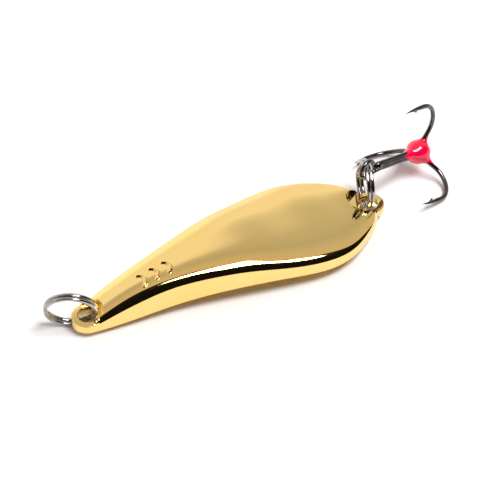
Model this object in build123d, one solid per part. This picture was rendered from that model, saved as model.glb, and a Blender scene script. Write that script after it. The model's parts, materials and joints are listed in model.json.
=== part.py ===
from build123d import *
from math import copysign, cos, pi, radians, sin
import os

# Spoon lure: a cast metal body, a split ring through each end, and a treble hook on the wide end's ring.
# Millimetres. +X runs from the line end to the hook end, +Y across the body, +Z up. The lure lies on the
# plane z = 0. The geometry is worked out from the axis of the line hole, and everything is moved at the
# end so that the origin is under the middle of the whole lure.

os.makedirs("parts", exist_ok=True)

# ---- Body --------------------------------------------------------------------------------------------
hole_spacing = 48.7          # line hole to hook hole
line_hole_r = 1.5
hook_hole_r = 1.45
line_tab_r = 2.5
hook_tab_r = 2.4
line_tab_underside = 0.8
line_tab_thickness = 1.4
hook_tab_underside = 1.2
hook_tab_thickness = 1.15
line_recess_r = 2.1          # flat seat sunk into the thick end around the line hole
hook_recess_r = 2.95         # wider seat around the hook hole, set back into the body
hook_recess_setback = 0.6

# Sections of the casting: distance from the line hole, half width, underside height, top height.
body_sections = [
    (0.3, 2.54, 0.85, 2.7),
    (2.0, 2.8, 0.9, 3.45),
    (4.0, 3.1, 1.0, 4.25),
    (7.0, 3.55, 1.2, 5.25),
    (12.0, 4.3, 1.7, 6.2),
    (18.0, 5.7, 2.3, 6.8),
    (24.0, 7.27, 2.55, 6.7),
    (30.0, 8.67, 2.35, 5.7),
    (36.0, 9.5, 1.95, 5.0),
    (41.0, 8.68, 2.0, 4.3),
    (45.0, 6.4, 2.05, 3.9),
    (47.2, 4.5, 1.8, 3.45),
    (48.7, 2.6, 1.45, 2.9),
]
section_power = 4.0          # 2 would be an ellipse; higher is squarer
section_splits = (0, 50, 130, 180)   # degrees round the outline where its side, top and side meet
section_steps = 6
hollow_wall = 1.3            # rim left round the hollow in the underside
hollow_roof = 1.8            # metal left above it
hollow_from = 2              # first and last section that the hollow reaches, by number
hollow_to = 10
hollow_mouth = 0.5           # how far the hollow's cutter reaches below the underside

# Raised scales near the line end.
scale_count = 3
scale_first_x = 9.4
scale_y = -0.8
scale_pitch = 2.1
scale_r = 1.5
scale_band = 0.5
scale_height = 0.3
scale_root_z = 4.8           # inside the metal above the hollow
scale_span = 130             # degrees of arc

# ---- Split rings -------------------------------------------------------------------------------------
ring_r = 3.7                 # to the middle of the wire
ring_wire_radial = 0.55
ring_wire_axial = 0.58
ring_wire_corner = 0.2
ring_turn_gap = 0.04
ring_ramp = 36               # degrees over which the wire steps from one turn to the other

# Where each ring bears on its tab's rim, outward from the hole, and where its centre is from there (out, up).
line_ring_bearing = 2.0
hook_ring_bearing = 1.93
ring_centre_out = 0.35
ring_centre_up = 2.4

line_ring_direction = 149    # degrees from +X of the way the ring leaves the line hole
line_ring_lean = -17         # degrees that its top leans from upright, towards -Y
hook_ring_direction = 72
hook_ring_lean = 0

# ---- Treble hook -------------------------------------------------------------------------------------
hook_wire_r = 0.35
bundle_r = 0.42              # shank axis to each of the three wires
eye_r = 1.4                  # to the middle of the wire
eye_to_bead = 12.4
eye_on_ring = -14            # degrees round the hook ring from its top, towards the body
shank_yaw = 15
shank_pitch = 16.2           # down from level
single_wire_start = 2.3
# Bend of one hook: along the shank from the bead's centre, and out from the shank.
bend_points = [(1.0, 2.75), (1.6, 4.1), (1.5, 6.0), (0.5, 7.6), (-0.7, 8.3), (-2.6, 8.45)]
bend_start = -1.0
point_base = (-2.6, 8.45)
point_tip = (-6.0, 8.2)
point_tip_r = 0.03
barb_length = 1.0
barb_rise = 0.42
barb_width = 0.22
barb_from_base = 0.5
braze_r = 0.6
bead_r = 2.0
bead_cone_length = 2.6
bead_cone_tip_r = 0.85


def section_point(angle, x, half_width, underside, top):
    """A point on the section's outline: angle 0 is the +Y foot, 90 degrees the crown, 180 the -Y foot."""
    across = half_width * copysign(abs(cos(angle)) ** (2 / section_power), cos(angle))
    rise = (top - underside) * max(sin(angle), 0.0) ** (2 / section_power)
    return Vector(x, across, underside + rise)


def outline_direction(angle, section):
    """The way the outline runs at an angle, upright at both feet."""
    if angle <= 0:
        return Vector(0, 0, 1)
    if angle >= pi:
        return Vector(0, 0, -1)
    step = 0.001
    return section_point(angle + step, *section) - section_point(angle - step, *section)


def body_section(*section):
    """A face across the casting: flat underside, steep sides, rounded shoulders and a crowned top."""
    edges = []
    for first, last in zip(section_splits[:-1], section_splits[1:]):
        step = (last - first) / section_steps
        angles = [radians(first + step * number) for number in range(section_steps + 1)]
        edges.append(Spline(
            *[section_point(angle, *section) for angle in angles],
            tangents=(outline_direction(angles[0], section), outline_direction(angles[-1], section)),
        ))
    edges.append(Line(section_point(pi, *section), section_point(0, *section)))
    return make_face(Curve() + edges)


def upright_disc(x, radius, low, high):
    """A cylinder about a vertical axis through the lure's centre line."""
    return Pos(x, 0, (low + high) / 2) * Cylinder(radius, high - low)


def raised_scale(x):
    """One fish-scale crescent, taller than the casting and rooted in it."""
    ring = Circle(scale_r) - Circle(scale_r - scale_band)
    wedge_reach = 3 * scale_r
    half = radians(scale_span / 2)
    wedge = make_face(Polyline(
        (0, 0),
        (wedge_reach * cos(half), wedge_reach * sin(half)),
        (wedge_reach * cos(half), -wedge_reach * sin(half)),
        close=True,
    ))
    return Pos(x - scale_r, scale_y, scale_root_z) * extrude(ring & wedge, 10)


def make_body():
    faces = [body_section(*section) for section in body_sections]
    casting = loft(faces)
    hollow_faces = [
        body_section(x, half_width - hollow_wall, underside - hollow_mouth, top - hollow_roof)
        for x, half_width, underside, top in body_sections[hollow_from:hollow_to]
    ]
    line_tab_top = line_tab_underside + line_tab_thickness
    hook_tab_top = hook_tab_underside + hook_tab_thickness
    ceiling = 20
    casting -= loft(hollow_faces)
    casting += upright_disc(0, line_tab_r, line_tab_underside, line_tab_top)
    casting += upright_disc(hole_spacing, hook_tab_r, hook_tab_underside, hook_tab_top)
    casting -= upright_disc(0, line_recess_r, line_tab_top, ceiling)
    casting -= upright_disc(hole_spacing - hook_recess_setback, hook_recess_r, hook_tab_top, ceiling)
    raised_faces = [
        body_section(x, half_width, underside, top + scale_height)
        for x, half_width, underside, top in body_sections[1:7]
    ]
    raised_skin = loft(raised_faces)
    for number in range(scale_count):
        casting += raised_scale(scale_first_x + number * scale_pitch) & raised_skin
    casting -= upright_disc(0, line_hole_r, -1, ceiling)
    casting -= upright_disc(hole_spacing, hook_hole_r, -1, ceiling)
    return casting


def make_split_ring():
    """Two flat turns of wire about +Z, joined by a short ramp, centred on the origin."""
    half_pitch = (ring_wire_axial + ring_turn_gap) / 2
    half_ramp = ring_ramp / 2

    def place(angle, z):
        return Vector(ring_r * cos(radians(angle)), ring_r * sin(radians(angle)), z)

    def heading(angle):
        return Vector(-sin(radians(angle)), cos(radians(angle)), 0)

    turns = [
        ThreePointArc(place(half_ramp, z), place(180, z), place(360 - half_ramp, z))
        for z in (-half_pitch, half_pitch)
    ]
    ramp = Spline(
        place(-half_ramp, -half_pitch), place(half_ramp, half_pitch),
        tangents=(heading(-half_ramp), heading(half_ramp)),
    )
    start = Plane(origin=turns[0] @ 0, x_dir=place(half_ramp, 0), z_dir=heading(half_ramp))
    profile = RectangleRounded(ring_wire_radial, ring_wire_axial, ring_wire_corner)
    return sweep(start * profile, path=Wire([turns[0], ramp, turns[1]]))


def ring_plane(hole_x, tab_mid_z, bearing, direction, lean):
    """The ring's plane: its X points out from the hole, its Y up the ring, its origin is the ring's centre."""
    out = Vector(cos(radians(direction)), sin(radians(direction)), 0)
    level = out.cross(Vector(0, 0, 1))
    up = Vector(0, 0, 1) * cos(radians(lean)) + level * sin(radians(lean))
    pivot = Vector(hole_x, 0, tab_mid_z) + out * bearing
    centre = pivot + out * ring_centre_out + up * ring_centre_up
    return pivot, Plane(origin=centre, x_dir=out, z_dir=out.cross(up))


def treble_plane(eye_centre):
    """The treble's plane: its X runs down the shank from the eye, its Z towards the upper hook."""
    yaw = radians(shank_yaw)
    pitch = radians(shank_pitch)
    along = Vector(cos(pitch) * cos(yaw), cos(pitch) * sin(yaw), -sin(pitch))
    upper = Vector(sin(pitch) * cos(yaw), sin(pitch) * sin(yaw), cos(pitch))
    return Plane(origin=eye_centre, x_dir=along, z_dir=upper)


def hook_wire(shank_start):
    """One hook in the XZ plane, with its shank straight wire starting at shank_start."""
    bend_x = eye_to_bead + bend_start
    shank = Line((shank_start, 0, bundle_r), (bend_x, 0, bundle_r))
    curve_points = [(bend_x, 0, bundle_r)]
    curve_points += [(eye_to_bead + along, 0, out) for along, out in bend_points]
    lean = (point_tip[0] - point_base[0], 0, point_tip[1] - point_base[1])
    bend = Spline(*curve_points, tangents=((1, 0, 0), lean))
    start = Plane(origin=(shank_start, 0, bundle_r), z_dir=(1, 0, 0))
    wire = sweep(start * Circle(hook_wire_r), path=Wire([shank, bend]))
    length = Vector(*lean).length
    base = Plane(origin=(eye_to_bead + point_base[0], 0, point_base[1]), z_dir=lean)
    point = base * Pos(0, 0, length / 2) * Cone(hook_wire_r, point_tip_r, length)
    return wire + point + barb()


def barb():
    """A thin fin cut up from the inner side of the point, its tip towards the bend."""
    start_x = eye_to_bead + point_base[0] - barb_from_base
    inner = point_base[1]
    outline = make_face(Polyline(
        (start_x, inner - hook_wire_r - barb_rise / 2),
        (start_x - barb_length, inner - hook_wire_r / 2),
        (start_x - barb_length * 0.6, inner),
        (start_x - barb_length * 0.3, inner - hook_wire_r / 2),
        close=True,
    ))
    fin = Plane.XZ * outline
    return extrude(fin, barb_width / 2, both=True)


def make_treble():
    """The treble's four pieces, in the treble's own plane."""
    hooks = [Rot(angle, 0, 0) * hook_wire(single_wire_start - 0.8) for angle in (120, 240)]
    eye = Plane.XZ * Torus(eye_r, hook_wire_r)
    double = eye + hooks[0] + hooks[1]
    single = hook_wire(single_wire_start)
    wires = double + single
    braze_length = eye_to_bead - eye_r
    braze = Pos(eye_r + braze_length / 2, 0, 0) * Rot(0, 90, 0) * Cylinder(braze_r, braze_length)
    cone = Rot(0, -90, 0) * Cone(bead_r * 0.86, bead_cone_tip_r, bead_cone_length)
    cone_x = eye_to_bead - bead_r * 0.5 - bead_cone_length / 2
    bead = Pos(eye_to_bead, 0, 0) * Sphere(bead_r) + Pos(cone_x, 0, 0) * cone
    return double, single, braze - wires - bead, bead - wires


# ---- Assembly ----------------------------------------------------------------------------------------
line_tab_mid = line_tab_underside + line_tab_thickness / 2
hook_tab_mid = hook_tab_underside + hook_tab_thickness / 2
line_pivot, line_plane = ring_plane(
    0, line_tab_mid, line_ring_bearing, line_ring_direction, line_ring_lean
)
hook_pivot, hook_plane = ring_plane(
    hole_spacing, hook_tab_mid, hook_ring_bearing, hook_ring_direction, hook_ring_lean
)
split_ring = make_split_ring()
eye_angle = radians(eye_on_ring)
eye_centre = hook_plane.from_local_coords(Vector(ring_r * sin(eye_angle), ring_r * cos(eye_angle), 0))
eye_axis = hook_plane.x_dir * cos(eye_angle) - hook_plane.y_dir * sin(eye_angle)
shank_plane = treble_plane(eye_centre)
double_hook, single_hook, braze_fill, resin_bead = make_treble()

nodes = {
    "spoon_body": make_body(),
    "line_split_ring": line_plane.location * split_ring,
    "hook_split_ring": hook_plane.location * split_ring,
    "double_hook": shank_plane.location * double_hook,
    "single_hook": shank_plane.location * single_hook,
    "braze_fill": shank_plane.location * braze_fill,
    "resin_bead": shank_plane.location * resin_bead,
}

whole = Compound(children=[Compound(node.solids()) for node in nodes.values()]).bounding_box()
shift = Vector(-whole.center().X, -whole.center().Y, -whole.min.Z)
for name, node in nodes.items():
    export_step(Pos(shift) * Compound(node.solids()), f"parts/{name}.step")
    print(f"{name}: {len(node.solids())} solid, {node.volume:.1f} mm3")


def placed(point):
    return [round(value, 3) for value in (point + shift)]


print("size", whole.size, "shift", shift)
print("line ring centre", placed(line_plane.origin))
print("line ring pivot", placed(line_pivot), "axis", line_plane.z_dir)
print("hook ring pivot", placed(hook_pivot), "axis", hook_plane.z_dir)
print("eye centre", placed(eye_centre), "axis", eye_axis)
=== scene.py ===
import json
import math

import bmesh
import bpy
import numpy as np
from mathutils import Matrix, Vector


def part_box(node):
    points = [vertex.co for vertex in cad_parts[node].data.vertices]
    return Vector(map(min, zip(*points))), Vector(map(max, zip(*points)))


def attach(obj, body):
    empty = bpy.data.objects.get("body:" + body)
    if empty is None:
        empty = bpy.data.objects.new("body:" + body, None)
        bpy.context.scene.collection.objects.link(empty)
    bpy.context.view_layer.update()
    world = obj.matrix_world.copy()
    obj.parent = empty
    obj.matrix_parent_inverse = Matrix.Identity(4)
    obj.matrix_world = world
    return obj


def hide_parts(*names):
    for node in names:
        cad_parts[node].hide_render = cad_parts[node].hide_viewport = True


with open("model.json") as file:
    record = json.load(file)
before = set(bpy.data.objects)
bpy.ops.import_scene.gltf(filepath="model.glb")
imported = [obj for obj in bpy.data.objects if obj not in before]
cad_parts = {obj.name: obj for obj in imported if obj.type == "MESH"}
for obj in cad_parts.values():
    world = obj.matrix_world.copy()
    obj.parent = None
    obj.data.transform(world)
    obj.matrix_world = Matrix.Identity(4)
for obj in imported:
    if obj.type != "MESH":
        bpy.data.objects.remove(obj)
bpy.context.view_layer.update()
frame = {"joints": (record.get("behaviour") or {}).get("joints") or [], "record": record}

MM = 0.001
JOINTS = {joint["name"]: joint for joint in frame["joints"]}

# ---- Design sizes, in millimetres and degrees ----------------------------------------------------------
# They are the CAD part's, except that the casting's first two stations, up to x = 6, are its own.
HOLE_SPACING = 48.7
LINE_HOLE_R = 1.5
HOOK_HOLE_R = 1.45
LINE_TAB_R = 2.5
HOOK_TAB_R = 2.4
LINE_TAB = (0.8, 2.2)          # underside and top
HOOK_TAB = (1.2, 2.35)
LINE_RECESS_R = 2.1
HOOK_RECESS_R = 2.95
HOOK_RECESS_SETBACK = 0.6
BODY_X = (-0.37, 6, 12, 18, 24, 30, 36, 41, 45, 47.2, 48.7)
BODY_HALF_WIDTH = (2.47, 3.43, 4.3, 5.7, 7.27, 8.67, 9.5, 8.68, 6.4, 4.5, 2.6)
BODY_UNDERSIDE = (0.8, 1.12, 1.7, 2.3, 2.55, 2.35, 1.95, 2.0, 2.05, 1.8, 1.45)
BODY_TOP = (2.4, 4.93, 6.2, 6.8, 6.7, 5.7, 5.0, 4.3, 3.9, 3.45, 2.9)
SECTION_POWER = 4.0
HOLLOW_WALL = 1.3
HOLLOW_ROOF = 1.8
HOLLOW_X = (4.0, 45.0)

RING_R = 3.7
RING_RADIAL = 0.55
RING_AXIAL = 0.58
RING_GAP = 0.04
RING_RAMP = 36.0
RING_CORNER = 0.2

WIRE_R = 0.35
BUNDLE_R = 0.42
EYE_R = 1.4
EYE_TO_BEAD = 12.4
EYE_ON_RING = -14.0
SHANK_YAW = 15.0
SHANK_PITCH = 16.2
BEND = ((1.0, 2.75), (1.6, 4.1), (1.5, 6.0), (0.5, 7.6), (-0.7, 8.3), (-2.6, 8.45))
POINT_TIP = (-6.0, 8.2)
BEAD_R = 2.0

SCALE_COUNT = 3
SCALE_FIRST_X = 9.4
SCALE_Y = -0.8
SCALE_PITCH = 2.1
SCALE_R = 1.5
SCALE_BAND = 0.5
SCALE_HEIGHT = 0.3
SCALE_HALF_SPAN = math.radians(65)

# ---- Sizes and point counts that only the visual pieces have, in millimetres ---------------------------
RING_POINTS = 260
EYE_POINTS = 90
LEAD_POINTS = 14
LEAD_LEAN = 0.01               # the wire's facets lean this little on the eye's two leads
BEND_POINTS = 150
SHANK_POINTS = 30
POINT_TAPER = 3.6              # length of a hook's needle point along its wire
TIP_R = 0.012                  # radius at the tip, which the rest of the wire has on top of its own
TAB_POWER = 14                 # nearly square sections on the tabs
POWER_EASE = 0.7               # how much rounder the narrow end's section is than the rest
POWER_EASE_X = (14.0, 5.0)     # where that starts, and where it is whole
MIDDLE_X = 24.0
LINE_POWER_X = (-0.6, 0.8)     # where the tab's section turns into the casting's
LINE_TOP_X = (-0.6, 0.3)       # where the tab's top turns into the casting's
HOOK_FADE = (0.25, -0.05)      # the same at the hook hole, past its axis
HOOK_UNDERSIDE_X = 47.0
TAB_RIM = 0.22
SEAT_STEP = 0.01
SEAT_SLOPE = 0.05
SEAT_WALL_SLOPE = 9.0
SEAT_WALL_X = -0.4
SEAT_BLEND = 0.12
SEAT_END_X = 4.0
RELIEF_CLEARANCE = 1.5         # no relief this near the underside
SCALE_FOOT = 0.55              # shares of the crescent's band where its flank starts and ends
SCALE_CREST = 0.25
CROWN_SHARE = 0.85             # the even part of the crown, as a share of the half width
CROWN_POINTS = 162
SIDE_POINTS = 45
RIM_POINTS = 9
HOLLOW_POINTS = 85
HOLLOW_FADE = 4.0
HOLLOW_LEAST_SHARE = 0.3
STATION_SPANS = (              # start, end and step of the stations between the two holes
    (0.06, 4.0, 0.07), (4.0, 6.6, 0.15), (6.6, 14.6, 0.08),
    (14.6, 43.0, 0.25), (43.0, HOLE_SPACING, 0.07),
)
TAB_END_ANGLE = 0.06
TAB_END_POINTS = 40
CHAMFER = 0.14
SEAT_FILLET = 0.15
SEAT_DRAFT = 0.25
CUTTER_BELOW = 1.0
CUTTER_ABOVE = 6.0
SHARP_EDGE = 38                # degrees

# ---- Camera and studio ---------------------------------------------------------------------------------
CAMERA_AZIMUTH = -30.63
CAMERA_ELEVATION = 42.0
CAMERA_DISTANCE = 0.350
CAMERA_LENS = 166.3
TARGET = (28.57, 1.81, 0.35)   # from the line hole's axis, in millimetres
FLOOR_HALF_SIZE = 3.0
KEY_DIRECTION = (0.36, -0.20, 0.91)
KEY_DISTANCE = 0.55
KEY_SIZE = (0.32, 0.18)
KEY_WATTS = 3.0
WALL_TURN = 32.0               # degrees that the bright side is turned left of straight away
WALL_TILT = -8.0               # degrees below level, so a negative tilt is upwards
WALL_TONES = (                 # share of the way from the dark side to the bright one, and the colour
    (0.0, (0.006, 0.006, 0.008)), (0.485, (0.009, 0.008, 0.009)), (0.505, (0.66, 0.56, 0.48)),
    (0.7, (0.6, 0.57, 0.54)), (0.8, (0.5, 0.5, 0.5)), (0.842, (0.56, 0.56, 0.56)),
    (0.866, (0.95, 0.95, 0.95)), (0.91, (0.92, 0.92, 0.92)), (0.94, (1.15, 1.15, 1.15)),
    (1.0, (1.25, 1.25, 1.25)),
)


# ---- Small tools ---------------------------------------------------------------------------------------
def cubic(knots, values, start_slope=None):
    """A smooth curve through the points as a function of x, with its curvature continuous."""
    x = np.array(knots, float)
    y = np.array(values, float)
    h = np.diff(x)
    slope = np.diff(y) / h
    count = len(x)
    matrix = np.zeros((count, count))
    right = np.zeros(count)
    for i in range(1, count - 1):
        matrix[i, i - 1:i + 2] = (h[i], 2 * (h[i - 1] + h[i]), h[i - 1])
        right[i] = 3 * (h[i] * slope[i - 1] + h[i - 1] * slope[i])
    matrix[0, :2] = (2, 1)
    right[0] = 3 * slope[0]
    matrix[-1, -2:] = (1, 2)
    right[-1] = 3 * slope[-1]
    if start_slope is not None:
        matrix[0, :2] = (1, 0)
        right[0] = start_slope
    m = np.linalg.solve(matrix, right)

    def at(values_x):
        v = np.asarray(values_x, float)
        i = np.clip(np.searchsorted(x, v) - 1, 0, count - 2)
        t = (v - x[i]) / h[i]
        return (
            (2 * t ** 3 - 3 * t ** 2 + 1) * y[i] + (t ** 3 - 2 * t ** 2 + t) * h[i] * m[i]
            + (3 * t ** 2 - 2 * t ** 3) * y[i + 1] + (t ** 3 - t ** 2) * h[i] * m[i + 1]
        )

    return at


def smooth_step(low, high, value):
    """Eases from 0 at low to 1 at high; low may be the larger of the two."""
    t = np.clip((value - low) / (high - low), 0.0, 1.0)
    return t * t * (3 - 2 * t)


def soft_min(a, b, k):
    """The smaller of two values, rounded over a width of k where they cross."""
    h = np.clip(0.5 + 0.5 * (b - a) / k, 0.0, 1.0)
    return b + (a - b) * h - k * h * (1 - h)


def mesh_object(name, points, faces, material, smooth=True):
    mesh = bpy.data.meshes.new(name)
    mesh.from_pydata([tuple(p) for p in points], [], [tuple(f) for f in faces])
    mesh.validate()
    mesh.polygons.foreach_set("use_smooth", [smooth] * len(mesh.polygons))
    mesh.materials.append(material)
    piece = bpy.data.objects.new(name, mesh)
    bpy.context.scene.collection.objects.link(piece)
    return piece


def tidy_mesh(piece, distance):
    """Joins points closer than distance, drops faces without area, and turns every face outwards."""
    work = bmesh.new()
    work.from_mesh(piece.data)
    bmesh.ops.remove_doubles(work, verts=work.verts, dist=distance)
    bmesh.ops.dissolve_degenerate(work, edges=work.edges, dist=distance * 0.5)
    bmesh.ops.recalc_face_normals(work, faces=work.faces)
    work.to_mesh(piece.data)
    work.free()


def grid_faces(rows, columns):
    """Quads of a grid of points, row by row; each row's last column joins its first."""
    return [
        (r * columns + c, r * columns + (c + 1) % columns,
         (r + 1) * columns + (c + 1) % columns, (r + 1) * columns + c)
        for r in range(rows - 1) for c in range(columns)
    ]


def tube(path, profiles, up):
    """Points and faces of a closed tube. Each path point has its own profile of (side, up) pairs."""
    path = np.array(path, float)
    ahead = np.gradient(path, axis=0)
    ahead /= np.linalg.norm(ahead, axis=1)[:, None]
    upward = np.array([np.array(up(i), float) for i in range(len(path))])
    upward -= (upward * ahead).sum(1)[:, None] * ahead
    upward /= np.linalg.norm(upward, axis=1)[:, None]
    side = np.cross(ahead, upward)
    points = []
    for i, centre in enumerate(path):
        profile = profiles[i]
        points += [centre + a * side[i] + b * upward[i] for a, b in profile]
    columns = len(profiles[0])
    faces = grid_faces(len(path), columns)
    for row, flip in ((0, True), (len(path) - 1, False)):
        middle = len(points)
        points.append(path[row])
        for c in range(columns):
            pair = (row * columns + c, row * columns + (c + 1) % columns)
            faces.append((middle, *(pair[::-1] if flip else pair)))
    return np.array(points), faces


def circle_profile(radius, sides=24):
    return [
        (radius * math.cos(2 * math.pi * i / sides), radius * math.sin(2 * math.pi * i / sides))
        for i in range(sides)
    ]


def rounded_box_profile(width, height, corner, steps=4):
    profile = []
    for quarter in range(4):
        cx = (width / 2 - corner) * (1 if quarter in (0, 3) else -1)
        cy = (height / 2 - corner) * (1 if quarter in (0, 1) else -1)
        for step in range(steps + 1):
            angle = math.pi / 2 * (quarter + step / steps)
            profile.append((cx + corner * math.cos(angle), cy + corner * math.sin(angle)))
    return profile


# ---- Materials -----------------------------------------------------------------------------------------
def new_material(name):
    material = bpy.data.materials.new(name)
    material.use_nodes = True
    return material, material.node_tree, material.node_tree.nodes["Principled BSDF"]


def noise(tree, scale, detail=3.0):
    """Noise all through the piece; the scale is about how many blotches a metre holds."""
    coords = tree.nodes.new("ShaderNodeTexCoord")
    node = tree.nodes.new("ShaderNodeTexNoise")
    node.inputs["Scale"].default_value = scale
    node.inputs["Detail"].default_value = detail
    tree.links.new(coords.outputs["Object"], node.inputs["Vector"])
    return node.outputs["Fac"]


def ramp(tree, value, stops):
    node = tree.nodes.new("ShaderNodeValToRGB")
    elements = node.color_ramp.elements
    while len(elements) < len(stops):
        elements.new(0.5)
    for element, (place, colour) in zip(elements, stops):
        element.position = place
        element.color = (*colour, 1.0)
    tree.links.new(value, node.inputs["Fac"])
    return node.outputs["Color"]


def between(tree, value, low, high):
    node = tree.nodes.new("ShaderNodeMapRange")
    node.inputs["To Min"].default_value = low
    node.inputs["To Max"].default_value = high
    tree.links.new(value, node.inputs["Value"])
    return node.outputs["Result"]


def bump(tree, shader, height, strength, distance):
    node = tree.nodes.new("ShaderNodeBump")
    node.inputs["Strength"].default_value = strength
    node.inputs["Distance"].default_value = distance
    tree.links.new(height, node.inputs["Height"])
    tree.links.new(node.outputs["Normal"], shader.inputs["Normal"])


def gold_material():
    """Polished gold plating: faint patches of warmer plating, polishing haze and a slight ripple."""
    material, tree, shader = new_material("gold_plate")
    shader.inputs["Metallic"].default_value = 1.0
    colour = ramp(tree, noise(tree, 90.0), ((0.3, (1.0, 0.68, 0.235)), (0.7, (1.0, 0.715, 0.27))))
    tree.links.new(colour, shader.inputs["Base Color"])
    tree.links.new(between(tree, noise(tree, 700.0, 5.0), 0.02, 0.09), shader.inputs["Roughness"])
    bump(tree, shader, noise(tree, 160.0, 2.0), 0.03, 0.0004)
    return material


def plated_material(name, light, dark, low, high):
    """Nickel plated wire, with fine patches in its tone and its gloss."""
    material, tree, shader = new_material(name)
    shader.inputs["Metallic"].default_value = 1.0
    colour = ramp(tree, noise(tree, 900.0, 4.0), ((0.35, dark), (0.65, light)))
    tree.links.new(colour, shader.inputs["Base Color"])
    tree.links.new(between(tree, noise(tree, 2500.0, 4.0), low, high), shader.inputs["Roughness"])
    bump(tree, shader, noise(tree, 2200.0, 3.0), 0.05, 0.0001)
    return material


def resin_material():
    """Clear-coated fluorescent resin, its colour a little uneven."""
    material, tree, shader = new_material("red_resin")
    colour = ramp(tree, noise(tree, 260.0), ((0.3, (0.82, 0.001, 0.045)), (0.7, (0.94, 0.003, 0.07))))
    tree.links.new(colour, shader.inputs["Base Color"])
    shader.inputs["Roughness"].default_value = 0.12
    shader.inputs["Coat Weight"].default_value = 0.35
    shader.inputs["Coat Roughness"].default_value = 0.03
    shader.inputs["Subsurface Weight"].default_value = 0.08
    shader.inputs["Subsurface Radius"].default_value = (1.0, 0.1, 0.12)
    shader.inputs["Subsurface Scale"].default_value = 0.0008
    bump(tree, shader, noise(tree, 500.0, 2.0), 0.04, 0.0002)
    return material


def floor_material():
    material, tree, shader = new_material("pale_floor")
    tree.links.new(
        ramp(tree, noise(tree, 6.0), ((0.3, (0.93, 0.93, 0.935)), (0.7, (0.95, 0.95, 0.95)))),
        shader.inputs["Base Color"],
    )
    shader.inputs["Roughness"].default_value = 0.6
    shader.inputs["Specular IOR Level"].default_value = 0.2
    return material


# ---- Body ----------------------------------------------------------------------------------------------
body_low, body_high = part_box("spoon_body")
LINE_HOLE = Vector((
    body_low.x + LINE_TAB_R * MM,
    (body_low.y + body_high.y) / 2,
    body_low.z - LINE_TAB[0] * MM,
))


def body_point(x, y, z):
    """A point given from the line hole's axis, in millimetres, as a place in the frame, in metres."""
    return LINE_HOLE + Vector((x, y, z)) * MM


def stations():
    """Distances from the line hole, close together on the tabs, the recesses and the raised marks."""
    turn = np.linspace(TAB_END_ANGLE, np.pi / 2, TAB_END_POINTS)
    line_end = -LINE_TAB_R * np.cos(turn)
    hook_end = HOLE_SPACING + HOOK_TAB_R * np.cos(turn[::-1])
    middle = [np.arange(*span) for span in STATION_SPANS]
    return np.concatenate((line_end, *middle, hook_end))


def make_body(material):
    half_width_at = cubic(BODY_X, BODY_HALF_WIDTH, start_slope=0.15)
    underside_at = cubic(BODY_X, BODY_UNDERSIDE, start_slope=0.0)
    top_at = cubic(BODY_X, BODY_TOP)
    x = stations()
    inside = np.clip(x, BODY_X[0], BODY_X[-1])
    line_disc = np.sqrt(np.clip(LINE_TAB_R ** 2 - np.minimum(x, 0) ** 2, 0, None))
    hook_disc = np.sqrt(np.clip(HOOK_TAB_R ** 2 - (x - HOLE_SPACING) ** 2, 0, None))
    body_share = smooth_step(HOLE_SPACING + HOOK_FADE[0], HOLE_SPACING + HOOK_FADE[1], x)
    half_width = np.where(x < BODY_X[0], line_disc, half_width_at(inside) * np.where(x > BODY_X[-1], 0, 1))
    half_width = np.maximum(half_width, np.where(x > HOLE_SPACING - HOOK_TAB_R, hook_disc, 0))
    thick = smooth_step(*LINE_POWER_X, x) * body_share
    underside = np.where(x < 0, LINE_TAB[0], underside_at(inside))
    underside = underside + (HOOK_TAB[0] - underside) * smooth_step(HOOK_UNDERSIDE_X, HOLE_SPACING, x)
    top = np.where(x < BODY_X[0], LINE_TAB[1], top_at(inside))
    hook_top = HOOK_TAB[1] + (top - HOOK_TAB[1]) * body_share
    line_top = LINE_TAB[1] + (top - LINE_TAB[1]) * smooth_step(*LINE_TOP_X, x)
    top = np.where(x > MIDDLE_X, hook_top, line_top)
    own_power = SECTION_POWER - POWER_EASE * smooth_step(*POWER_EASE_X, x)
    power = TAB_POWER + (own_power - TAB_POWER) * thick
    points = []
    for i, station in enumerate(x):
        across, rise = crown_row(power[i])
        y = half_width[i] * across
        z = underside[i] + (top[i] - underside[i]) * rise
        z = shape_top(station, y, z, underside[i])
        below_y, below_z = underside_row(station, half_width[i], underside[i], top[i])
        points += [body_point(station, a, b) for a, b in zip(y, z)]
        points += [body_point(station, a, b) for a, b in zip(below_y, below_z)]
    columns = len(across) + len(below_y)
    faces = grid_faces(len(x), columns)
    faces += [tuple(range(columns))[::-1], tuple(range(len(points) - columns, len(points)))]
    piece = mesh_object("spoon_casting", points, faces, material)
    tidy_mesh(piece, 1e-8)
    cut_round(piece, HOLE_SPACING - HOOK_RECESS_SETBACK, seat_profile(HOOK_RECESS_R, HOOK_TAB[1]))
    cut_round(piece, 0.0, hole_profile(LINE_HOLE_R, LINE_TAB))
    cut_round(piece, HOLE_SPACING, hole_profile(HOOK_HOLE_R, HOOK_TAB))
    return piece


def crown_row(power):
    """Points over the superellipse from its +Y foot to its -Y foot, even across the crown."""
    turn = np.linspace(0, np.arccos(CROWN_SHARE ** (power / 2)), SIDE_POINTS)
    side = np.cos(turn) ** (2 / power)
    side_rise = np.sin(turn) ** (2 / power)
    middle = np.linspace(CROWN_SHARE, -CROWN_SHARE, CROWN_POINTS)[1:-1]
    middle_rise = (1 - np.abs(middle) ** power) ** (1 / power)
    return (
        np.concatenate((side, middle, -side[::-1])),
        np.concatenate((side_rise, middle_rise, side_rise[::-1])),
    )


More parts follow.
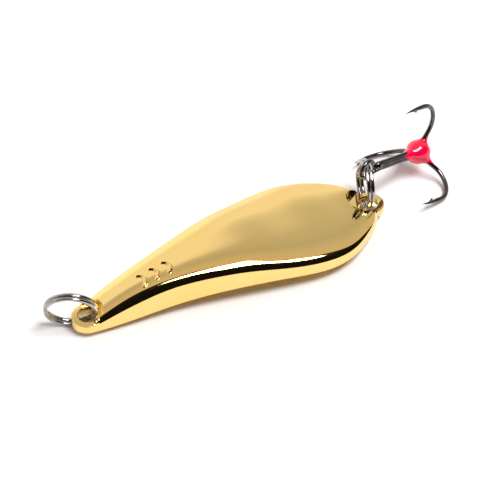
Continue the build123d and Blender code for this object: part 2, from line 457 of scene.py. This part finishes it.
def shape_top(station, y, z, underside):
    """Sinks the line end's seat, rounds the tabs' rims and raises the scale marks."""
    if station < SEAT_END_X:
        past_seat = np.maximum(np.hypot(station, y) - LINE_RECESS_R, 0)
        wall = LINE_TAB[1] + SEAT_WALL_SLOPE * past_seat * (station > SEAT_WALL_X)
        wall = wall - SEAT_SLOPE * np.clip(LINE_RECESS_R - y, 0, 2 * LINE_RECESS_R)
        z = soft_min(z, wall, SEAT_BLEND)
    for x, radius, top, beyond in (
        (0.0, LINE_TAB_R, LINE_TAB[1], station < 0),
        (HOLE_SPACING, HOOK_TAB_R, HOOK_TAB[1], station > HOLE_SPACING),
    ):
        if beyond:
            edge = np.clip(TAB_RIM - radius + np.hypot(station - x, y), 0, TAB_RIM)
            z = np.minimum(z, top - SEAT_STEP - TAB_RIM + np.sqrt(TAB_RIM ** 2 - edge ** 2))
    z = z + relief(station, y) * (z > underside + RELIEF_CLEARANCE)
    return np.maximum(z, underside)


def relief(station, y):
    """Height of the three raised crescents above the casting."""
    height = np.zeros_like(y)
    for number in range(SCALE_COUNT):
        centre = SCALE_FIRST_X + number * SCALE_PITCH - SCALE_R
        r = np.hypot(station - centre, y - SCALE_Y)
        angle = np.abs(np.arctan2(y - SCALE_Y, station - centre))
        past_end = np.maximum(angle - SCALE_HALF_SPAN, 0) * SCALE_R
        off = np.hypot(r - SCALE_R + SCALE_BAND / 2, past_end)
        share = smooth_step(SCALE_BAND * SCALE_FOOT, SCALE_BAND * SCALE_CREST, off)
        height = np.maximum(height, SCALE_HEIGHT * share)
    return height


def underside_row(station, half_width, underside, top):
    """Points across the underside: a flat rim, and a hollow that fades out towards both tabs."""
    inner = max(half_width - HOLLOW_WALL, HOLLOW_LEAST_SHARE * half_width)
    rim = np.linspace(half_width, inner, RIM_POINTS)[1:-1]
    turn = np.linspace(-np.pi / 2, np.pi / 2, HOLLOW_POINTS)
    across = inner * np.sign(turn) * np.abs(np.sin(turn)) ** 0.5
    line_end = smooth_step(HOLLOW_X[0], HOLLOW_X[0] + HOLLOW_FADE, station)
    hook_end = smooth_step(HOLLOW_X[1], HOLLOW_X[1] - HOLLOW_FADE, station)
    depth = max(top - HOLLOW_ROOF - underside, 0) * (line_end * hook_end)
    flat = np.full(len(rim), underside)
    return (
        np.concatenate((-rim, across, rim[::-1])),
        np.concatenate((flat, underside + depth * np.cos(turn), flat)),
    )


def hole_profile(radius, tab):
    """Radius and height up a through hole with a small countersink at both mouths."""
    mouth = radius + CHAMFER
    return [
        (mouth, tab[0] - CUTTER_BELOW), (mouth, tab[0]), (radius, tab[0] + CHAMFER),
        (radius, tab[1] - CHAMFER), (mouth, tab[1]), (mouth, tab[1] + CUTTER_ABOVE),
    ]


def seat_profile(radius, height):
    """Radius and height up a flat round seat, its wall drafted a little outwards."""
    return [
        (radius - SEAT_FILLET, height), (radius, height + SEAT_FILLET),
        (radius + SEAT_DRAFT, height + CUTTER_ABOVE),
    ]


def cut_round(piece, x, profile):
    """Cuts away a turned shape about a vertical axis."""
    sides = 128
    points = [
        body_point(x + r * math.cos(2 * math.pi * i / sides), r * math.sin(2 * math.pi * i / sides), z)
        for r, z in profile for i in range(sides)
    ]
    faces = grid_faces(len(profile), sides)
    faces.append(tuple(range(sides))[::-1])
    faces.append(tuple(range((len(profile) - 1) * sides, len(profile) * sides)))
    cutter = mesh_object("cutter", points, faces, piece.data.materials[0])
    tidy_mesh(cutter, 1e-8)
    cut = piece.modifiers.new("cut", "BOOLEAN")
    cut.operation = "DIFFERENCE"
    cut.solver = "EXACT"
    cut.object = cutter
    with bpy.context.temp_override(object=piece, active_object=piece):
        bpy.ops.object.modifier_apply(modifier=cut.name)
    bpy.data.objects.remove(cutter)


def sharpen(piece, degrees):
    """Splits the shading at edges sharper than the angle."""
    work = bmesh.new()
    work.from_mesh(piece.data)
    for edge in work.edges:
        if len(edge.link_faces) == 2:
            edge.smooth = edge.calc_face_angle(0) < math.radians(degrees)
    work.to_mesh(piece.data)
    work.free()


# ---- Split rings ---------------------------------------------------------------------------------------
def make_split_ring(name, centre, normal, material):
    """Two flat turns of wire joined by a ramp, a little thinner at the cut ends."""
    half_pitch = (RING_AXIAL + RING_GAP) / 2
    turn = np.linspace(RING_RAMP / 2, 720 - RING_RAMP / 2, RING_POINTS)
    lift = smooth_step(360 - RING_RAMP / 2, 360 + RING_RAMP / 2, turn)
    angle = np.radians(turn)
    path = np.stack((RING_R * np.cos(angle), RING_R * np.sin(angle), half_pitch * (2 * lift - 1)), 1)
    full = rounded_box_profile(RING_RADIAL, RING_AXIAL, RING_CORNER)
    profiles = []
    for i in range(len(path)):
        from_end = min(i, len(path) - 1 - i)
        share = 0.8 + 0.2 * min(from_end / 2, 1)
        profiles.append([(a * share, b * share) for a, b in full])
    points, faces = tube(path, profiles, lambda i: (0, 0, 1))
    piece = mesh_object(name, points * MM, faces, material)
    tidy_mesh(piece, 1e-9)
    axis = Vector(normal).normalized()
    up = Vector((0, 0, 1))
    out = up.cross(axis).normalized()
    across = axis.cross(out)
    turn_matrix = Matrix((out, across, axis)).transposed().to_4x4()
    piece.data.transform(Matrix.Translation(Vector(centre)) @ turn_matrix)
    return piece


# ---- Treble hook ---------------------------------------------------------------------------------------
def treble_matrix(eye):
    yaw = math.radians(SHANK_YAW)
    pitch = math.radians(SHANK_PITCH)
    along = Vector((math.cos(pitch) * math.cos(yaw), math.cos(pitch) * math.sin(yaw), -math.sin(pitch)))
    upper = Vector((math.sin(pitch) * math.cos(yaw), math.sin(pitch) * math.sin(yaw), math.cos(pitch)))
    level = upper.cross(along)
    turn = Matrix((along, level, upper)).transposed().to_4x4()
    return Matrix.Translation(Vector(eye)) @ turn


def spin(points, degrees):
    """Turns points about the shank, which is the X axis."""
    a = math.radians(degrees)
    turned = np.array(points, float)
    y, z = turned[:, 1].copy(), turned[:, 2].copy()
    turned[:, 1] = y * math.cos(a) - z * math.sin(a)
    turned[:, 2] = y * math.sin(a) + z * math.cos(a)
    return turned


def through(points, count):
    """A smooth path through a few points, evenly stepped."""
    points = np.array(points, float)
    gaps = np.linalg.norm(np.diff(points, axis=0), axis=1)
    along = np.concatenate(([0], np.cumsum(gaps)))
    curves = [cubic(along, points[:, axis]) for axis in range(points.shape[1])]
    steps = np.linspace(0, along[-1], count)
    return np.stack([curve(steps) for curve in curves], 1)


def hook_path(shank_start):
    """One hook in the XZ plane: straight shank wire, bend and point."""
    points = [(EYE_TO_BEAD - 2.2, 0, BUNDLE_R), (EYE_TO_BEAD - 1.2, 0, BUNDLE_R + 0.02)]
    points += [(EYE_TO_BEAD + along, 0, out) for along, out in BEND]
    points += [(EYE_TO_BEAD + POINT_TIP[0] * 0.7, 0, 8.4), (EYE_TO_BEAD + POINT_TIP[0], 0, POINT_TIP[1])]
    bend = through(points, BEND_POINTS)
    shank = np.linspace((shank_start, 0, BUNDLE_R), (EYE_TO_BEAD - 2.25, 0, BUNDLE_R), SHANK_POINTS)
    return np.concatenate((shank, bend))


def hook_radii(path):
    """Full wire, then a needle taper over the last stretch."""
    gaps = np.linalg.norm(np.diff(path, axis=0), axis=1)
    to_tip = np.concatenate((np.cumsum(gaps[::-1])[::-1], [0]))
    needle = WIRE_R * np.clip(to_tip / POINT_TAPER, 0, 1) ** 0.75
    return np.where(to_tip < POINT_TAPER, needle, WIRE_R) + TIP_R


def hook_mesh(shank_start):
    path = hook_path(shank_start)
    radii = hook_radii(path)
    profiles = [circle_profile(r) for r in radii]
    points, faces = tube(path, profiles, lambda i: (0, 1, 0))
    return points, faces


def barb_mesh():
    """A thin raised sliver on the point's inner side, its free end towards the bend."""
    base_x = EYE_TO_BEAD - 4.35
    out = 8.42 - WIRE_R * 0.7
    outline = ((0.0, 0.0), (0.9, -0.34), (1.15, -0.36), (0.75, 0.12), (0.0, 0.1))
    half = 0.11
    points = [
        (base_x + a, side * half * (1 - 0.6 * (a > 0.8)), out + b)
        for side in (-1, 1) for a, b in outline
    ]
    count = len(outline)
    faces = [tuple(range(count))[::-1], tuple(range(count, 2 * count))]
    faces += [(i, (i + 1) % count, count + (i + 1) % count, count + i) for i in range(count)]
    return np.array(points), faces


def joined(parts):
    points = []
    faces = []
    for part_points, part_faces in parts:
        base = sum(len(p) for p in points)
        points.append(np.array(part_points, float))
        faces += [tuple(base + i for i in face) for face in part_faces]
    return np.concatenate(points), faces


def eye_mesh():
    """The eye: the double hook's wire turned once round, leaving and rejoining the shank."""
    start = 24.0
    angle = np.radians(np.linspace(start, 360 - start, EYE_POINTS))
    side = 0.16 * np.cos(angle / 2)
    loop = np.stack((EYE_R * np.cos(angle), side, EYE_R * np.sin(angle)), 1)
    lead_in = ((2.9, 0.36, -0.2), (2.2, 0.34, -0.1), (1.75, 0.26, 0.2), tuple(loop[0]))
    lead_out = (tuple(loop[-1]), (1.75, -0.26, -0.45), (2.2, -0.34, -0.3), (2.9, -0.36, -0.2))
    first = through(lead_in, LEAD_POINTS)[:-1]
    last = through(lead_out, LEAD_POINTS)[1:]
    path = np.concatenate((first, loop, last))
    profiles = [circle_profile(WIRE_R)] * len(path)
    on_loop = range(LEAD_POINTS - 1, LEAD_POINTS + EYE_POINTS)
    return tube(path, profiles, lambda i: (0, 1, 0) if i in on_loop else (0, 1, LEAD_LEAN))


def make_double_hook(material, place):
    parts = [eye_mesh()]
    for degrees in (120, 240):
        for points, faces in (hook_mesh(1.9), barb_mesh()):
            parts.append((spin(points, degrees), faces))
    points, faces = joined(parts)
    return placed_piece("double_hook_wire", points, faces, material, place)


def make_single_hook(material, place):
    points, faces = joined([hook_mesh(2.3), barb_mesh()])
    return placed_piece("single_hook_wire", points, faces, material, place)


def placed_piece(name, points, faces, material, place):
    piece = mesh_object(name, points * MM, faces, material)
    tidy_mesh(piece, 1e-9)
    piece.data.transform(place)
    return piece


def make_braze(material, place):
    """Solder that fills the grooves between the three wires, thicker behind the eye.

    Its far end, inside the bead, is left open.
    """
    along = np.linspace(1.75, EYE_TO_BEAD - 1.0, 60)
    around = np.linspace(0, 2 * np.pi, 49)[:-1]
    points = []
    for x in along:
        swell = 0.07 * math.exp(-((x - 2.3) / 0.6) ** 2)
        end = math.sqrt(min(1.0, (x - 1.7) / 0.5))
        r = (0.63 + 0.07 * np.cos(3 * around) + swell) * end
        points += [(x, r_ * math.sin(a), r_ * math.cos(a)) for r_, a in zip(r, around)]
    faces = grid_faces(len(along), len(around))
    faces.append(tuple(range(len(around))))
    return placed_piece("shank_braze", np.array(points), faces, material, place)


def bead_distance(points, wires):
    """How far points are from the resin's surface: a ball with resin drawn out along every wire."""
    ball = np.linalg.norm(points * np.array((0.97, 1, 1)), axis=1) - BEAD_R * 0.97
    for start, end, near_r, far_r in wires:
        line = end - start
        share = np.clip(((points - start) @ line) / (line @ line), 0, 1)
        gap = np.linalg.norm(points - start - share[:, None] * line, axis=1)
        ball = soft_min(ball, gap - (near_r + (far_r - near_r) * share), 0.55)
    return ball


def make_bead(material, place):
    """The resin drop: its skin is found by stepping out from the middle in every direction."""
    shank = (np.zeros(3), np.array((-3.6, 0, 0)), 1.5, 0.62)
    first = np.array((1.25, 0, 3.1))
    wires = [shank] + [
        (np.zeros(3), spin([first], degrees)[0], 0.9, 0.3) for degrees in (0, 120, 240)
    ]
    rows, columns = 90, 120
    polar = np.linspace(0, np.pi, rows)
    around = np.linspace(0, 2 * np.pi, columns + 1)[:-1]
    p, a = np.meshgrid(polar, around, indexing="ij")
    ways = np.stack((np.cos(p), np.sin(p) * np.sin(a), np.sin(p) * np.cos(a)), -1).reshape(-1, 3)
    reach = np.full(len(ways), 0.5)
    for _ in range(60):
        reach += 0.7 * -bead_distance(ways * reach[:, None], wires)
        reach = np.clip(reach, 0.5, 4.0)
    points = ways * reach[:, None] + np.array((EYE_TO_BEAD, 0, 0))
    return placed_piece("resin_drop", points, grid_faces(rows, columns), material, place)


# ---- Stage ---------------------------------------------------------------------------------------------
def make_floor():
    size = FLOOR_HALF_SIZE
    points = [(-size, -size, 0), (size, -size, 0), (size, size, 0), (-size, size, 0)]
    floor = mesh_object("floor", points, [(0, 1, 2, 3)], floor_material(), smooth=False)


def picture_directions(azimuth):
    """The picture's level directions, to the right and away from the camera, and straight up."""
    a = math.radians(azimuth)
    return Vector((math.cos(a), math.sin(a), 0)), Vector((-math.sin(a), math.cos(a), 0)), Vector((0, 0, 1))


def make_camera():
    _, away, up = picture_directions(CAMERA_AZIMUTH)
    e = math.radians(CAMERA_ELEVATION)
    back = -away * math.cos(e) + up * math.sin(e)
    data = bpy.data.cameras.new("camera")
    data.lens = CAMERA_LENS
    data.sensor_width = 36
    data.clip_start = 0.01
    camera = bpy.data.objects.new("camera", data)
    camera.location = body_point(*TARGET) + back * CAMERA_DISTANCE
    camera.rotation_euler = back.to_track_quat("Z", "Y").to_euler()
    bpy.context.scene.collection.objects.link(camera)
    bpy.context.scene.camera = camera


def make_panel(name, direction, distance, size, watts):
    """A soft rectangular studio light, aimed at the lure from a direction (right, away, up)."""
    right, away, up = picture_directions(CAMERA_AZIMUTH)
    way = (right * direction[0] + away * direction[1] + up * direction[2]).normalized()
    data = bpy.data.lights.new(name, "AREA")
    data.shape = "RECTANGLE"
    data.size, data.size_y = size
    data.energy = watts
    lamp = bpy.data.objects.new(name, data)
    lamp.location = way * distance
    lamp.rotation_euler = way.to_track_quat("Z", "Y").to_euler()
    bpy.context.scene.collection.objects.link(lamp)


def make_world():
    """A studio that is dark behind the camera and to its right, and pale beyond the floor's far side."""
    world = bpy.data.worlds.new("studio")
    bpy.context.scene.world = world
    world.use_nodes = True
    tree = world.node_tree
    background = tree.nodes["Background"]
    coords = tree.nodes.new("ShaderNodeTexCoord")
    along = tree.nodes.new("ShaderNodeVectorMath")
    along.operation = "DOT_PRODUCT"
    right, away, up = picture_directions(CAMERA_AZIMUTH)
    turn = math.radians(WALL_TURN)
    tilt = math.radians(WALL_TILT)
    level = away * math.cos(turn) - right * math.sin(turn)
    along.inputs[1].default_value = level * math.cos(tilt) - up * math.sin(tilt)
    tree.links.new(coords.outputs["Generated"], along.inputs[0])
    spread = between(tree, along.outputs["Value"], 0.0, 1.0)
    spread.node.inputs["From Min"].default_value = -1.0
    tree.links.new(ramp(tree, spread, WALL_TONES), background.inputs["Color"])
    background.inputs["Strength"].default_value = 1.0


# ---- Assembly ------------------------------------------------------------------------------------------
gold = gold_material()
nickel = plated_material("bright_nickel", (0.50, 0.48, 0.45), (0.36, 0.34, 0.32), 0.08, 0.2)
black_nickel = plated_material("black_nickel", (0.15, 0.14, 0.138), (0.10, 0.095, 0.095), 0.07, 0.16)
solder = plated_material("braze", (0.15, 0.14, 0.135), (0.11, 0.105, 0.10), 0.12, 0.22)
resin = resin_material()

body = make_body(gold)
sharpen(body, SHARP_EDGE)
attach(body, "spoon")
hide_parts("spoon_body")

eye_place = Vector(JOINTS["treble_swing"]["pos_m"])
line_ring_place = next(m for m in frame["record"]["mounts"] if m["name"] == "line_attachment")["pos_m"]
hook_ring_out = Vector((0, 0, 1)).cross(Vector(JOINTS["hook_ring_swing"]["axis"]))
eye_turn = math.radians(EYE_ON_RING)
centre_to_eye = hook_ring_out * math.sin(eye_turn) + Vector((0, 0, math.cos(eye_turn)))
hook_ring_place = eye_place - centre_to_eye * RING_R * MM
for ring_body, node, place, joint in (
    ("line_ring", "line_split_ring", line_ring_place, "line_ring_swing"),
    ("hook_ring", "hook_split_ring", hook_ring_place, "hook_ring_swing"),
):
    ring = make_split_ring(f"{node}_wire", place, JOINTS[joint]["axis"], nickel)
    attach(ring, ring_body)
    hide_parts(node)

treble = treble_matrix(eye_place)
for piece, node, slot_name in (
    (make_double_hook(black_nickel, treble), "double_hook", "black_nickel"),
    (make_single_hook(black_nickel, treble), "single_hook", "black_nickel"),
    (make_braze(solder, treble), "braze_fill", "braze"),
    (make_bead(resin, treble), "resin_bead", "red_resin"),
):
    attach(piece, "treble")
    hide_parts(node)

make_floor()
make_world()
make_camera()
make_panel("key", KEY_DIRECTION, KEY_DISTANCE, KEY_SIZE, KEY_WATTS)
bpy.context.scene.view_settings.view_transform = "Standard"
